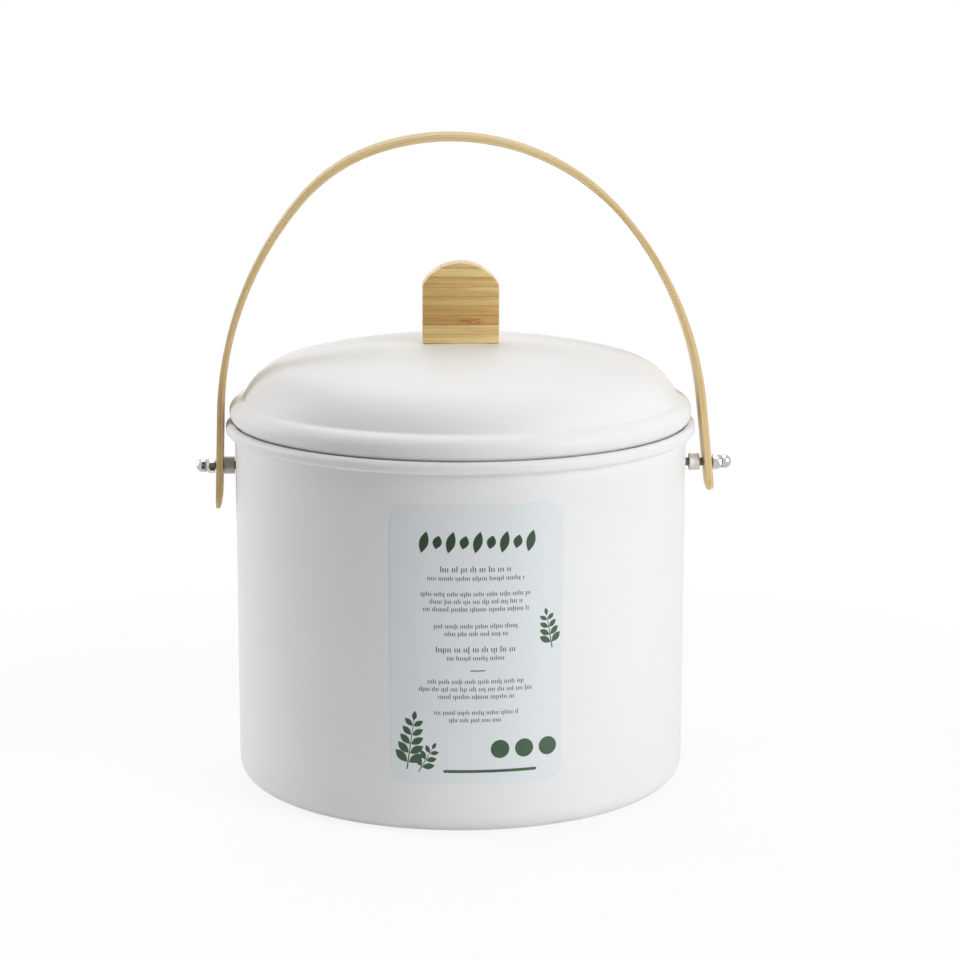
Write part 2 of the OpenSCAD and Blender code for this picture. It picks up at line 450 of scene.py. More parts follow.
class CoatTexture(NodeGroup):
    """The skin of a sprayed or moulded surface: soft ripple, fine speckle and slow drift of tone."""

    name = "coat_texture"
    inputs = {
        "Vector": ("Vector", None),
        "Ripple Scale": ("Float", 700.0),
        "Speckle Scale": ("Float", 3500.0),
    }
    outputs = {"Height": "Float", "Speckle": "Float", "Drift": "Float"}

    def wire(self, graph: Graph, given: Outputs) -> dict[str, Socket]:
        """Mixes a ripple with a finer one for the height."""
        ripple = graph.noise(given["Vector"], given["Ripple Scale"], detail=1)
        speckle = graph.noise(given["Vector"], given["Speckle Scale"], detail=3, rough=0.6)
        drift = graph.noise(given["Vector"], 14, detail=2)
        height = graph.math("ADD", ripple, graph.math("MULTIPLY", speckle, 0.25))
        return {"Height": height, "Speckle": speckle, "Drift": drift}


class BambooGrain(NodeGroup):
    """Bamboo cut along its fibres, which run along the vector's first axis."""

    name = "bamboo_grain"
    inputs = {
        "Vector": ("Vector", None),
        "Pale": ("Color", (1, 1, 1, 1)),
        "Dark": ("Color", (0, 0, 0, 1)),
        "Fibre": ("Float", 1.0),
    }
    outputs = {"Color": "Color", "Height": "Float"}

    def wire(self, graph: Graph, given: Outputs) -> dict[str, Socket]:
        """Lays fine fibres, broken vessels and broad streaks over each other."""
        vector = given["Vector"]
        fibres = graph.noise(graph.stretch(vector, (60, 2400, 2400)), 1, detail=3, rough=0.6)
        streaks = graph.noise(graph.stretch(vector, (14, 420, 420)), 1, detail=2)
        vessels = graph.noise(graph.stretch(vector, (130, 3600, 3600)), 1, detail=1)
        dark_vessels = graph.spread(vessels, 0.60, 0.70)
        broad = graph.spread(streaks, 0.36, 0.66)
        fine = graph.spread(fibres, 0.34, 0.68)
        share = graph.math("MULTIPLY_ADD", broad, 0.5, graph.math("MULTIPLY", fine, 0.36))
        share = graph.math("ADD", share, graph.math("MULTIPLY", dark_vessels, 0.34))
        share = graph.math("MULTIPLY", share, given["Fibre"])
        colour = graph.blend(share, given["Pale"], given["Dark"])
        relief = graph.math("MULTIPLY", fibres, 0.6)
        height = graph.math("SUBTRACT", relief, graph.math("MULTIPLY", dark_vessels, 0.5))
        return {"Color": colour, "Height": height}


class TurnedRings(NodeGroup):
    """Fine tool marks round an axis that runs along X through a point, with a few deeper scratches."""

    name = "turned_rings"
    inputs = {"Vector": ("Vector", None), "Pitch Scale": ("Float", 5000.0)}
    outputs = {"Height": "Float", "Tone": "Float"}

    def wire(self, graph: Graph, given: Outputs) -> dict[str, Socket]:
        """Reads the place along the axis only, so that the marks run round it."""
        along = graph.add("SeparateXYZ", {0: given["Vector"]}).outputs[0]
        lane = graph.add("CombineXYZ", {0: along, 1: 0.0, 2: 0.0}).outputs[0]
        marks = graph.noise(lane, given["Pitch Scale"], detail=2, rough=0.7)
        scratches = graph.noise(graph.stretch(given["Vector"], (2600, 300, 300)), 1, detail=2)
        height = graph.math("ADD", marks, graph.math("MULTIPLY", scratches, 0.5))
        return {"Height": height, "Tone": scratches}


COAT_TEXTURE = CoatTexture()
BAMBOO_GRAIN = BambooGrain()
TURNED_RINGS = TurnedRings()


# ---------------------------------------------------------------- finishes


@dataclass(frozen=True)
class Finish:
    """A surface finish, made into a material once and given to any number of pieces.

    The frame has materials named after the slots, so no finish takes a slot's name.
    """

    name: str
    slot: Slot

    def dress(self, graph: Graph, place: Socket) -> dict[str, object]:
        """Says what feeds the surface shader.

        Args:
            graph: The material's graph.
            place: The point on the surface, in the frame, in metres.

        Returns:
            Values and outputs by the names of the shader's sockets.
        """
        raise NotImplementedError

    def material(self) -> bpy.types.Material:
        """The finished material."""
        if self.name in bpy.data.materials:
            return bpy.data.materials[self.name]
        material = bpy.data.materials.new(self.name)
        material.use_nodes = True
        graph = Graph(material.node_tree)
        shader = material.node_tree.nodes["Principled BSDF"]
        place = graph.add("TexCoord").outputs["Object"]
        for key, value in self.dress(graph, place).items():
            if isinstance(value, Socket):
                graph.tree.links.new(value, shader.inputs[key])
            else:
                shader.inputs[key].default_value = rgba(value)
        return material

    def apply(self, piece: Piece) -> None:
        """Gives a piece this finish all over."""
        piece.data.materials.clear()
        piece.data.materials.append(self.material())


@dataclass(frozen=True)
class SprayedCoat(Finish):
    """Satin powder coat, with its orange peel and slight drift of tone."""

    colour: Colour
    shade: Colour
    roughness: float = 0.45
    shine: float = 0.32
    peel_depth: float = 0.012 * MM

    def dress(self, graph: Graph, place: Socket) -> dict[str, object]:
        """Feeds a tone and roughness that drift a little, over a fine peel."""
        skin = COAT_TEXTURE.place(graph, {"Vector": place, "Ripple Scale": 620.0, "Speckle Scale": 4200.0})
        drift = graph.spread(skin["Drift"], 0.35, 0.65)
        speck = graph.spread(skin["Speckle"], 0.40, 0.62)
        tone = graph.blend(graph.math("MULTIPLY", drift, 0.5), self.colour, self.shade)
        tone = graph.blend(graph.math("MULTIPLY", speck, 0.22), tone, self.shade)
        roughness = graph.spread(skin["Speckle"], 0.3, 0.7, self.roughness - 0.04, self.roughness + 0.05)
        return {"Base Color": tone, "Roughness": roughness, "Specular IOR Level": self.shine,
                "Normal": graph.bump(skin["Height"], self.peel_depth)}


@dataclass(frozen=True)
class Moulded(Finish):
    """Moulded plastic with a fine spark texture."""

    colour: Colour
    roughness: float = 0.5

    def dress(self, graph: Graph, place: Socket) -> dict[str, object]:
        """Feeds one colour with a slight drift, over a sparked skin."""
        skin = COAT_TEXTURE.place(graph, {"Vector": place, "Ripple Scale": 2600.0, "Speckle Scale": 9000.0})
        darker = tuple(c * 0.93 for c in self.colour)
        tone = graph.blend(graph.spread(skin["Drift"], 0.35, 0.65), self.colour, darker)
        roughness = graph.spread(skin["Speckle"], 0.3, 0.7, self.roughness - 0.05, self.roughness + 0.08)
        return {"Base Color": tone, "Roughness": roughness, "Normal": graph.bump(skin["Height"], 0.02 * MM)}


@dataclass(frozen=True)
class BambooBlock(Finish):
    """A lacquered block glued up from flat bamboo slats, which lie across and stack upwards."""

    pale: Colour
    dark: Colour
    glue: Colour
    stain_and_painted_shade: Colour
    slat: float
    base_z: float
    # How dark each slat is, from the base up
    tones: tuple[float, ...] = (0.03, 0.13, 0.68, 0.55, 0.33, 0.15, 0.32, 0.0, 0.2)
    # The mark that a node of the cane leaves: its middle, across and above the base, and its half size
    mark: Point = (4 * MM, 10.6 * MM)
    mark_size: Point = (8.5 * MM, 2.3 * MM)
    mark_tone: Colour = (0.36, 0.12, 0.02)
    seam_share: float = 0.6

    def slat_tone(self, graph: Graph, index: Socket) -> Socket:
        """The darkness of the slat with an index."""
        place = graph.math("DIVIDE", graph.math("ADD", index, 0.5), len(self.tones))
        ramp = graph.add("ValToRGB", {0: place})
        ramp.color_ramp.interpolation = "CONSTANT"
        stops = ramp.color_ramp.elements
        while len(stops) < len(self.tones):
            stops.new(1.0)
        for k, tone in enumerate(self.tones):
            stops[k].position = k / len(self.tones)
            stops[k].color = (tone, tone, tone, 1)
        return ramp.outputs["Color"]

    def node_mark(self, graph: Graph, place: Socket) -> Socket:
        """How much of the node's mark is at a point: an oval broken up into short lines."""
        middle = (self.mark[0], 0, self.base_z + self.mark[1])
        offset = graph.add("VectorMath", {0: place, 1: middle}, operation="SUBTRACT").outputs[0]
        oval = graph.stretch(offset, (1 / self.mark_size[0], 0, 1 / self.mark_size[1]))
        distance = graph.add("VectorMath", {0: oval}, operation="LENGTH").outputs["Value"]
        lines = graph.spread(graph.noise(graph.stretch(place, (190, 0, 1500)), 1, detail=2), 0.42, 0.56)
        return graph.math("MULTIPLY", graph.spread(distance, 0.45, 1, 0.85, 0, smooth_ends=True), lines)

    def dress(self, graph: Graph, place: Socket) -> dict[str, object]:
        """Gives each slat its own tone and its own piece of the grain."""
        z = graph.add("SeparateXYZ", {0: place}).outputs[2]
        wander = graph.noise(graph.stretch(place, (30, 60, 0)), 1, detail=1)
        above = graph.math("SUBTRACT", z, self.base_z)
        height = graph.math("ADD", above, graph.math("MULTIPLY", wander, 0.5 * MM))
        row = graph.math("DIVIDE", height, self.slat)
        index = graph.math("FLOOR", row)
        chance = graph.add("TexWhiteNoise", {"W": index}, noise_dimensions="1D")
        shifted = graph.add("VectorMath", {0: place, 1: chance.outputs["Color"]}, operation="ADD").outputs[0]
        grain = BAMBOO_GRAIN.place(
            graph, {"Vector": shifted, "Pale": self.pale, "Dark": self.dark, "Fibre": 0.95})
        colour = graph.blend(self.slat_tone(graph, index), grain["Color"], self.stain_and_painted_shade, how="MULTIPLY")
        colour = graph.blend(self.node_mark(graph, place), colour, self.mark_tone)
        seam = graph.spread(graph.math("FRACT", row), 0.05, 0.12, self.seam_share, 0)
        colour = graph.blend(seam, colour, self.glue)
        roughness = graph.spread(grain["Height"], 0.1, 0.5, 0.42, 0.55)
        return {"Base Color": colour, "Roughness": roughness, "Coat Weight": 0.6, "Coat Roughness": 0.12,
                "Normal": graph.bump(grain["Height"], 0.05 * MM, strength=0.7)}


@dataclass(frozen=True)
class BambooStrip(Finish):
    """A bent and lacquered bamboo strip, whose grain follows an attribute: where in it a point is."""

    pale: Colour
    dark: Colour
    attribute: str
    # The dark vein near the middle of the thickness: its full and its fading half width, and its sway
    vein: Point = (0.15 * MM, 0.95 * MM)
    vein_sway: float = 3 * MM
    # The duller skin: its colour, and where in the thickness it is full and gone
    skin: Colour = (0.74, 0.71, 0.66)
    skin_z: Point = (-1.35 * MM, -0.95 * MM)
    # Painted shade on the foot of the left leg, beside the lid: its brown colour, and how far along the strip
    # it is full and gone
    stain_and_painted_shade: Colour = (0.76, 0.64, 0.54)
    painted_shade_reach: Point = (45 * MM, 110 * MM)

    def dress(self, graph: Graph, place: Socket) -> dict[str, object]:
        """Runs fibres along the strip, with a swaying vein, a duller skin outside and painted shade on the
        left leg's foot.
        """
        source = graph.add("Attribute", attribute_name=self.attribute, attribute_type="GEOMETRY")
        along = source.outputs["Vector"]
        coarse = graph.stretch(along, (0.22, 0.36, 0.36))
        grain = BAMBOO_GRAIN.place(
            graph, {"Vector": coarse, "Pale": self.pale, "Dark": self.dark, "Fibre": 0.75})
        run, _, through = graph.add("SeparateXYZ", {0: along}).outputs
        sway = graph.noise(graph.stretch(along, (16, 0, 0)), 1, detail=1)
        middle = graph.math("MULTIPLY_ADD", graph.math("SUBTRACT", sway, 0.5), self.vein_sway, through)
        vein = graph.spread(graph.math("ABSOLUTE", middle), *self.vein, 0.40, 0, smooth_ends=True)
        colour = graph.blend(vein, grain["Color"], self.dark)
        # Painted shade: the left leg's lower part, beside the lid, is darkened in brown, at half strength at
        # most
        foot = graph.spread(run, *self.painted_shade_reach, 0.5, 0.0)
        colour = graph.blend(foot, colour, self.stain_and_painted_shade, how="MULTIPLY")
        outside = graph.spread(through, *self.skin_z, 1, 0)
        colour = graph.blend(outside, colour, self.skin, how="MULTIPLY")
        roughness = graph.spread(grain["Height"], 0.1, 0.5, 0.42, 0.55)
        return {"Base Color": colour, "Roughness": roughness, "Specular IOR Level": 0.35,
                "Normal": graph.bump(grain["Height"], 0.012 * MM, strength=0.6)}


@dataclass(frozen=True)
class Steel(Finish):
    """Bare or plated steel, turned round the pivots' axis."""

    colour: Colour
    roughness: float
    mark_depth: float
    pitch_scale: float = 5000.0

    def dress(self, graph: Graph, place: Socket) -> dict[str, object]:
        """Feeds a metal with ring marks and uneven shine."""
        rings = TURNED_RINGS.place(graph, {"Vector": place, "Pitch Scale": self.pitch_scale})
        dull = tuple(c * 0.8 for c in self.colour)
        tone = graph.blend(graph.spread(rings["Tone"], 0.4, 0.7), self.colour, dull)
        low, high = self.roughness * 0.8, self.roughness * 1.25
        roughness = graph.spread(rings["Tone"], 0.3, 0.7, low, high)
        return {"Base Color": tone, "Metallic": 1.0, "Roughness": roughness,
                "Normal": graph.bump(rings["Height"], self.mark_depth)}


@dataclass(frozen=True)
class Film(Finish):
    """Smooth printed film or the ink on it, with a faint fibre under its gloss."""

    colour: Colour
    roughness: float = 0.36

    def dress(self, graph: Graph, place: Socket) -> dict[str, object]:
        """Feeds one colour with a faint mottle."""
        skin = COAT_TEXTURE.place(graph, {"Vector": place, "Ripple Scale": 260.0, "Speckle Scale": 5200.0})
        mottled = tuple(c * 0.96 for c in self.colour)
        tone = graph.blend(graph.spread(skin["Speckle"], 0.4, 0.6), self.colour, mottled)
        return {"Base Color": tone, "Roughness": self.roughness,
                "Normal": graph.bump(skin["Height"], 0.006 * MM)}


@dataclass(frozen=True)
class Felt(Finish):
    """Needled felt, black with carbon, with pale fibres over it."""

    colour: Colour
    fibre: Colour

    def dress(self, graph: Graph, place: Socket) -> dict[str, object]:
        """Lays short fibres in two directions over a coarse nap."""
        nap = graph.noise(place, 900, detail=4, rough=0.7)
        one_way = graph.noise(graph.stretch(place, (3000, 400, 900)), 1, detail=2)
        other_way = graph.noise(graph.stretch(place, (400, 3000, 900)), 1, detail=2)
        fibres = graph.math("MAXIMUM", one_way, other_way)
        tone = graph.blend(graph.spread(fibres, 0.55, 0.75), self.colour, self.fibre)
        height = graph.math("ADD", nap, graph.math("MULTIPLY", fibres, 0.5))
        return {"Base Color": tone, "Roughness": 0.95, "Normal": graph.bump(height, 0.3 * MM)}


WHITE_COAT = SprayedCoat("white_powder_coat", Slot.COAT, (0.862, 0.866, 0.866), (0.828, 0.832, 0.830))
GRAIN_ATTRIBUTE = "along_strip"
BENT_BAMBOO = BambooStrip(
    "bent_bamboo", Slot.BAMBOO, pale=(0.98, 0.80, 0.45), dark=(0.56, 0.35, 0.13), attribute=GRAIN_ATTRIBUTE)
BRIGHT_STEEL = Steel("polished_steel", Slot.BRIGHT, (0.57, 0.575, 0.56), 0.11, 0.001 * MM)
# The bolts' dark brown is partly painted shade: their shanks sit in shadow between the wall, the spacers and
# the bail
DARK_STEEL = Steel("dark_threaded_steel", Slot.BRIGHT, (0.17, 0.15, 0.11), 0.38, 0.10 * MM, 1500.0)
TURNED_STEEL = Steel("turned_steel", Slot.SATIN, (0.78, 0.775, 0.75), 0.58, 0.012 * MM, 2600.0)
LABEL_FILM = Film("label_film", Slot.LABEL, (0.80, 0.84, 0.865))
DARK_INK = Film("dark_green_ink", Slot.LABEL, (0.045, 0.085, 0.048), 0.40)
LEAF_INK = Film("leaf_green_ink", Slot.LABEL, (0.060, 0.120, 0.065), 0.40)
TEXT_INK = Film("grey_green_ink", Slot.LABEL, (0.085, 0.125, 0.10), 0.40)
PALE_PLASTIC = Moulded("pale_plastic", Slot.PLASTIC, (0.80, 0.81, 0.80))
CARBON_FELT = Felt("needled_carbon_felt", Slot.FELT, (0.016, 0.016, 0.018), (0.06, 0.06, 0.065))


def hand_over(piece: Piece, finish: Finish, body: Body, *stands_for: str) -> Piece:
    """Finishes a piece, puts it on its body and says which nodes it stands for.

    Args:
        piece: The modelled piece.
        finish: Its finish.
        body: The body that carries it.
        stands_for: The frame's nodes that it replaces.

    Returns:
        The same piece.
    """
    finish.apply(piece)
    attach(piece, body.value)
    if stands_for:
        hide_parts(*stands_for)
    faces = len(piece.data.polygons)
    log.info("%s: %d faces, on %s, for %s", piece.name, faces, body.value, stands_for or "itself")
    return piece


# ---------------------------------------------------------------- the bucket


@dataclass
class Bucket:
    """The pressed bucket with its rolled rim."""

    sheet: float = 0.8 * MM
    corner_r: float = 9.9 * MM
    groove_start: float = 74 * MM
    groove_bend: float = 5 * MM
    groove_turn: float = 30
    curl_r: float = 2.6 * MM
    curl_drop: float = 0.8 * MM
    curl_tuck: float = 118
    bolt_hole_r: float = 2.2 * MM

    def shell(self) -> Piece:
        """The bucket, turned from one sheet section and drilled for its two bolts."""
        rim_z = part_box("bucket_body")[1].z
        groove_w = 4 * self.groove_bend * math.sin(math.radians(self.groove_turn))
        foot_w = WALL_R - self.corner_r - self.groove_start - groove_w
        inside = Outline(0, self.sheet, 0, chord=6 * MM)
        inside.ahead(self.groove_start).bend(self.groove_bend, self.groove_turn)
        inside.bend(self.groove_bend, -2 * self.groove_turn).bend(self.groove_bend, self.groove_turn)
        inside.ahead(foot_w).bend(self.corner_r - self.sheet, 90)
        inside.ahead(rim_z - self.curl_r - self.corner_r).bend(self.curl_r, -180)
        inside.ahead(self.curl_drop).bend(self.curl_r, -self.curl_tuck)
        piece = turn_round("bucket_shell", inside.sheet(self.sheet), on_axis=True)
        for side in Side:
            start = (side.value * (WALL_R - 4 * MM), 0, PIVOT_Z)
            drill = rod("drill", self.bolt_hole_r, 8 * MM, start, (0, 90 * side.value, 0))
            combine(piece, drill, "DIFFERENCE")
        return hand_over(smooth(piece), WHITE_COAT, Body.BUCKET, "bucket_body")

    def build(self) -> None:
        """Makes the shell."""
        self.shell()


@dataclass
class Label:
    """The film on the front, with a generic print of seeds, fine strokes, sprigs and discs.

    The print is laid out in millimetres: across from the label's middle, and up from its lower edge.
    """

    film: float = 0.15 * MM
    ink: float = 0.02 * MM
    corner_r: float = 8
    # The label's width round the wall, and its middle's turn to the right, in degrees
    span: float = 42.6
    middle: float = 1.8
    # Each row of fine print: its height on the label, its width and the height of its strokes
    rows: tuple[tuple[float, float, float], ...] = (
        (102.5, 34, 1.9), (98.4, 46, 1.55), (91.0, 52, 1.55), (87.4, 44, 1.55), (83.8, 50, 1.55),
        (75.8, 40, 1.55), (72.2, 30, 1.55), (64.6, 38, 1.9), (60.6, 28, 1.55),
        (49.4, 46, 1.55), (45.8, 54, 1.55), (42.2, 36, 1.55), (34.6, 40, 1.5), (31.0, 26, 1.5))
    # Each sprig: its foot, its height, its lean in degrees, its pairs of leaves and the lowest one's length
    sprigs: tuple[tuple[float, float, float, float, int, float], ...] = (
        (-33, 7, 24, 8, 5, 8.5), (-27.5, 6, 13, 30, 3, 6.5), (35.5, 64, 16, -10, 4, 6.6))

    @property
    def half_w(self) -> float:
        """Half the label's width along the wall."""
        return WALL_R * math.radians(self.span / 2)

    def bar(self, x: float, z: float, width: float, height: float, corner: float) -> list[Point]:
        """A bar with rounded corners, from its middle, its size and its corners' radius."""
        points = []
        for cx, cz, start in ((1, 1, 0), (-1, 1, 90), (-1, -1, 180), (1, -1, 270)):
            for step in range(4):
                angle = math.radians(start + 30 * step)
                points.append((x + cx * (width / 2 - corner) + corner * math.cos(angle),
                               z + cz * (height / 2 - corner) + corner * math.sin(angle)))
        return points

    def seed(self, x: float, z: float, length: float, width: float, lean: float = 0) -> list[Point]:
        """A pointed oval from its middle, its long way up, leaning to the right by an angle."""
        points, steps = [], 8
        for way in (1, -1):
            for step in range(steps):
                share = step / steps
                across = way * width / 2 * math.sin(math.pi * share) ** 0.9
                points.append((across, way * length * (0.5 - share)))
        angle = math.radians(-lean)
        return [(x + a * math.cos(angle) - b * math.sin(angle), z + a * math.sin(angle) + b * math.cos(angle))
                for a, b in points]

    def disc(self, x: float, z: float, radius: float, sides: int = 28) -> list[Point]:
        """A round disc from its middle and radius."""
        turns = [math.tau * k / sides for k in range(sides)]
        return [(x + radius * math.cos(turn), z + radius * math.sin(turn)) for turn in turns]

    def seed_row(self) -> list[list[Point]]:
        """The heading: a row of seeds, long and short in turn."""
        return [self.seed(6.2 * k, 115.5, 10.5 if k % 2 == 0 else 6.5, 4.3, lean=14) for k in range(-4, 5)]

    def strokes(self) -> list[Stroke]:
        """Rows of small upright strokes in groups, as a scale is ruled, that stand for fine print."""
        strokes = []
        for row, (z, width, height) in enumerate(self.rows):
            pitch, thick = 0.56 * height, 0.26 * height
            group, left = 0, 4 + row % 4
            for k in range(int(width / pitch)):
                if left == 0:
                    group += 1
                    left = 3 + (row * 5 + group * 7) % 7
                    continue
                above = 0.45 * height if (k * 5 + row * 3) % 7 == 0 else 0
                below = 0.4 * height if (k * 3 + row) % 11 == 5 else 0
                foot = (k * pitch - width / 2, z - height / 2 - below)
                strokes.append((*foot, thick, height + above + below))
                left -= 1
        return strokes

    def at(self, foot: Point, lean: float, length: float) -> Point:
        """A point at a distance from another, upwards and leaning to the right by an angle."""
        angle = math.radians(lean)
        return foot[0] + math.sin(angle) * length, foot[1] + math.cos(angle) * length

    def sprig(self, x: float, z: float, height: float, lean: float, pairs: int,
              leaf: float) -> list[list[Point]]:
        """A stem with pairs of leaves and one at its tip.

        Args:
            x: Foot of the stem, across.
            z: Foot of the stem, upwards.
            height: Length of the stem.
            lean: Its lean to the right, in degrees.
            pairs: Pairs of leaves.
            leaf: Length of the lowest leaves.

        Returns:
            One outline for the stem and one for each leaf.
        """
        foot_half, tip_half = 0.32, 0.12
        tip = self.at((x, z), lean, height)
        shapes = [[(x - foot_half, z), (x + foot_half, z),
                   (tip[0] + tip_half, tip[1]), (tip[0] - tip_half, tip[1])]]
        for pair in range(pairs):
            share = (pair + 0.7) / (pairs + 0.4)
            length = leaf * (1 - 0.45 * share)
            stalk = self.at((x, z), lean, height * share)
            for angle in (lean - 52, lean + 52):
                shapes.append(self.seed(*self.at(stalk, angle, 0.56 * length), length, length * 0.5, angle))
        shapes.append(self.seed(*self.at(tip, lean, 0.25 * leaf), leaf * 0.55, leaf * 0.27, lean))
        return shapes

    def flat_shapes(self, name: str, shapes: list[list[Point]]) -> Piece:
        """Flat faces from several outlines, as one piece."""
        faces = []
        for shape in shapes:
            face = draw_line(name, [(x * MM, z * MM) for x, z in shape])
            with editing(face):
                bpy.ops.mesh.edge_face_add()
            faces.append(face)
        return join(faces)

    def ruled(self, name: str, strokes: list[Stroke]) -> Piece:
        """The strokes as flat faces of one piece."""
        bpy.ops.mesh.primitive_plane_add(size=MM)
        piece = newest(name)
        with editing(piece):
            bpy.ops.mesh.delete(type="VERT")
            for x, foot, width, height in strokes:
                middle = (x * MM, 0, (foot + height / 2) * MM)
                bpy.ops.mesh.primitive_plane_add(size=MM, location=middle, rotation=(math.radians(90), 0, 0))
                bpy.ops.transform.resize(value=(width, 1, height), center_override=middle)
        return piece

    def wrap(self, flat: Piece, radius: float) -> None:
        """Cuts a flat face along the wall's own facets and lays it on the wall at a radius."""
        low_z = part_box("label")[0].z
        step, turn = math.radians(ROUND_STEP), math.radians(self.middle)
        first = math.ceil((turn - self.half_w / WALL_R) / step) - 1
        with editing(flat):
            for k in range(first, 4 - first):
                bpy.ops.mesh.select_all(action="SELECT")
                bpy.ops.mesh.bisect(plane_co=((k * step - turn) * WALL_R, 0, 0), plane_no=(1, 0, 0))
        for vertex in flat.data.vertices:
            angle = vertex.co.x / WALL_R + turn
            vertex.co = (radius * math.sin(angle), -radius * math.cos(angle), vertex.co.z + low_z)

    def lay(self, flat: Piece, radius: float, thickness: float) -> Piece:
        """Wraps flat faces on the wall and gives them their thickness."""
        self.wrap(flat, radius)
        with editing(flat):
            bpy.ops.mesh.normals_make_consistent(inside=False)
        if flat.data.polygons[0].normal.y > 0:
            with editing(flat):
                bpy.ops.mesh.flip_normals()
        return shape_with(flat, "SOLIDIFY", thickness=thickness, offset=1, use_even_offset=True)

    def build(self) -> None:
        """Makes the film and lays the print on it."""
        low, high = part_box("label")
        height = (high.z - low.z) / MM
        outline = [self.bar(0, height / 2, 2 * self.half_w / MM, height, self.corner_r)]
        film = self.lay(self.flat_shapes("label_film", outline), WALL_R, self.film)
        hand_over(smooth(film), LABEL_FILM, Body.BUCKET, "label")
        leaves = [shape for sprig in self.sprigs for shape in self.sprig(*sprig)]
        discs = [self.disc(22 + 11.5 * k, 17, 4.4) for k in range(-1, 2)]
        bars = [self.bar(6, 6.5, 44, 1.4, 0.7), self.bar(0, 54.8, 7, 0.5, 0.25)]
        prints = (
            (self.flat_shapes("label_seed_row", self.seed_row()), DARK_INK),
            (self.ruled("label_small_print", self.strokes()), TEXT_INK),
            (self.flat_shapes("label_sprigs", leaves), LEAF_INK),
            (self.flat_shapes("label_discs", discs + bars), LEAF_INK),
        )
        for flat, ink in prints:
            hand_over(self.lay(flat, WALL_R + self.film, self.ink), ink, Body.BUCKET)


# ---------------------------------------------------------------- the pivots


@dataclass
class Pivot:
    """One side's bolt hardware: spacer, cap nut, bolt and washer."""

    side: Side
    bolt_r: float = 2 * MM
    hole_r: float = 2.2 * MM
    spacer_r: float = 4.2 * MM
    across_flats: float = 7 * MM
    hex_t: float = 4.2 * MM
    shoulder: float = 1.1 * MM
    neck_r: float = 2.95 * MM
    neck_turn: float = 45
    dome_r: float = 3.3 * MM
    dome_z: float = 6 * MM
    bore_depth: float = 6.8 * MM

    @property
    def word(self) -> str:
        """The side's name."""
        return self.side.name.lower()

    def reach(self, node: str) -> tuple[float, float]:
        """How far from the bucket's axis a node starts and ends."""
        ends = sorted(abs(corner.x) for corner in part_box(node))
        return ends[0], ends[1]

    def seat(self, piece: Piece, x: float) -> Piece:
        """Lays a piece that was made along Z onto the pivots' axis, at a distance from the bucket's."""
        piece.rotation_euler = (0, math.radians(90 * self.side.value), 0)
        piece.location = (self.side.value * x, 0, PIVOT_Z)
        return settle(piece)

    def spacer(self) -> Piece:
        """A turned sleeve with rounded edges."""
        node = f"spacer_{self.word}"
        start, end = self.reach(node)
        length, edge = end - start, 0.35 * MM
        wall = Outline(self.hole_r + edge, 0, 0)
        for _ in range(2):
            wall.ahead(self.spacer_r - self.hole_r - 2 * edge).bend(edge, 90)
            wall.ahead(length - 2 * edge).bend(edge, 90)
        piece = turn_round(f"spacer_sleeve_{self.word}", wall.beside(0)[:-1], steps=64)
        return hand_over(self.seat(piece, start), TURNED_STEEL, Body.BUCKET, node)

    def chamfer(self) -> list[Point]:
        """What a lathe leaves of the hexagon: its corners cut back at the foot and sloped to the neck."""
        flat_r, foot = self.across_flats / 2, 0.35 * MM
        corner, wide = flat_r + 0.45 * MM, flat_r + 0.8 * MM
        slope = self.shoulder / (flat_r - self.neck_r)
        return [(0, -MM), (corner, -MM), (corner, foot), (wide, foot + 0.5 * MM),
                (wide, self.hex_t - (wide - self.neck_r) * slope), (self.neck_r, self.hex_t), (0, self.hex_t)]

    def dome_line(self) -> list[Point]:
        """The dome's half section: it swells from the neck, and its foot stands inside the hexagon."""
        turn = math.radians(self.neck_turn)
        bulge = (self.dome_r - self.neck_r) / (1 - math.cos(turn))
        line = Outline(self.neck_r, self.hex_t, 90 - self.neck_turn, chord=0.3 * MM, turn=8)
        line.bend(bulge, self.neck_turn).ahead(self.dome_z - self.hex_t - bulge * math.sin(turn))
        line.bend(self.dome_r, 90)
        foot = [(0, self.hex_t - MM), (self.neck_r, self.hex_t - MM)]
        return foot + line.beside(0)[:-1] + [(0, self.dome_z + self.dome_r)]

    def cap_nut(self) -> Piece:
        """A hexagon turned down to a neck, on which a closed dome sits."""
        node = f"cap_nut_{self.word}"
        start, _ = self.reach(node)
        corner_r = self.across_flats / math.sqrt(3)
        nut = rod(f"domed_cap_nut_{self.word}", corner_r, self.hex_t, (0, 0, 0), (0, 0, 30), 6)
        shape_with(nut, "BEVEL", width=0.18 * MM, segments=2, limit_method="ANGLE")
        combine(nut, turn_round("chamfer", self.chamfer(), on_axis=True, steps=64), "INTERSECT")
        combine(nut, turn_round("dome", self.dome_line(), on_axis=True, steps=64), "UNION")
        bore = rod("bore", self.bolt_r + 0.02 * MM, self.bore_depth + MM, (0, 0, -MM))
        combine(nut, bore, "DIFFERENCE")
        smooth(nut, 28)
        return hand_over(self.seat(nut, start), BRIGHT_STEEL, Body.BUCKET, node)

    def build(self) -> None:
        """Makes the sleeve and the nut, and finishes the frame's bolt and washer."""
        self.spacer()
        self.cap_nut()
        DARK_STEEL.apply(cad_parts[f"pivot_bolt_{self.word}"])
        TURNED_STEEL.apply(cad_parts[f"inner_washer_{self.word}"])


# ---------------------------------------------------------------- the bail


@dataclass(frozen=True)
class Tail:
    """One end of the strip: its length below the pivot, and how its tip is sanded thinner."""

    drop: float
    sand_inside: float
    sand_outside: float
    sand_reach: float

    def sanding(self, from_tip: float) -> tuple[float, float]:
        """How much is gone from the inner and the outer face at a distance from the tip."""
        share = max(0.0, 1 - from_tip / self.sand_reach) ** 1.7
        return self.sand_inside * share, self.sand_outside * share


